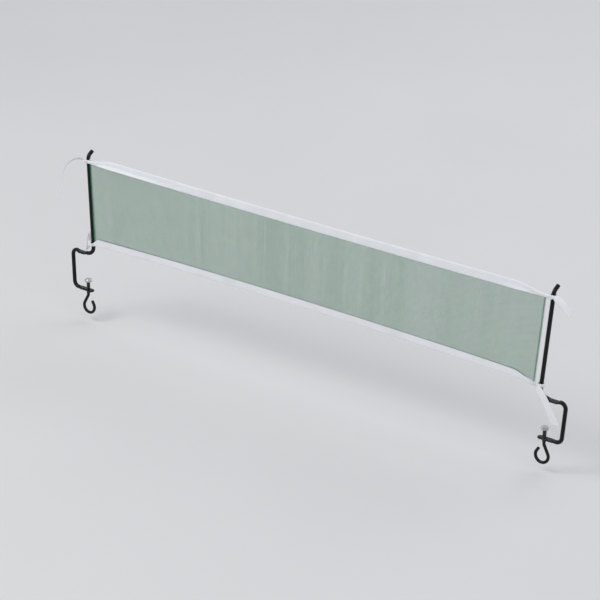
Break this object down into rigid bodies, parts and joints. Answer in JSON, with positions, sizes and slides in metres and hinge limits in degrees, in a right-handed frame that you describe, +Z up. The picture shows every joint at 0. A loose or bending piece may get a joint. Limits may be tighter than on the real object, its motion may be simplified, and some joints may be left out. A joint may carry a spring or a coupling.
{
  "type": "table tennis net clamp set",
  "caption": "Two bent-rod screw clamps that grip a small table's edges and hold a taped table tennis net between their leaning posts.",
  "frame": {"origin": "on the table top, midway between the two posts", "axes": "+X along the net to the right-hand clamp, +Y away from the near side, +Z up"},
  "size_m": [0.8331, 0.0194, 0.2406],
  "materials": {
    "black_enamel": "gloss",
    "plated_steel": "satin",
    "net_green": "matte",
    "tape_white": "matte",
    "sewing_thread": "matte"
  },
  "bodies": {
    "net_and_clamps": {"right_clamp_rod": "black_enamel", "left_clamp_rod": "black_enamel", "net_mesh": "net_green", "right_net_hem": "net_green", "left_net_hem": "net_green", "top_band": "tape_white", "bottom_band": "tape_white", "top_band_stitching": "sewing_thread", "bottom_band_stitching": "sewing_thread", "right_top_knot": "tape_white", "right_top_tail": "tape_white", "right_bottom_knot": "tape_white", "right_bottom_tail": "tape_white", "left_top_knot": "tape_white", "left_top_tail": "tape_white", "left_bottom_knot": "tape_white", "left_bottom_tail": "tape_white"},
    "right_pad": {"right_screw_pad": "plated_steel"},
    "right_screw": {"right_thumb_screw": "black_enamel"},
    "left_pad": {"left_screw_pad": "plated_steel"},
    "left_screw": {"left_thumb_screw": "black_enamel"}
  },
  "joints": [
    {"name": "right_pad_travel", "type": "slide", "parent": "net_and_clamps", "child": "right_pad", "axis": [0, 0, 1], "range_m": [-0.0101, 0.0041]},
    {"name": "right_screw_turn", "type": "hinge", "parent": "right_pad", "child": "right_screw", "pos_m": [0.3731, 0, -0.05], "axis": [0, 0, 1], "range_deg": [-4500, 1800]},
    {"name": "left_pad_travel", "type": "slide", "parent": "net_and_clamps", "child": "left_pad", "axis": [0, 0, 1], "range_m": [-0.0101, 0.0041]},
    {"name": "left_screw_turn", "type": "hinge", "parent": "left_pad", "child": "left_screw", "pos_m": [-0.3731, 0, -0.05], "axis": [0, 0, 1], "range_deg": [-4500, 1800]}
  ],
  "couplings": [
    {"joint": "right_pad_travel", "follows": "right_screw_turn", "m_per_rad": 0.00012732},
    {"joint": "left_pad_travel", "follows": "left_screw_turn", "m_per_rad": 0.00012732}
  ]
}
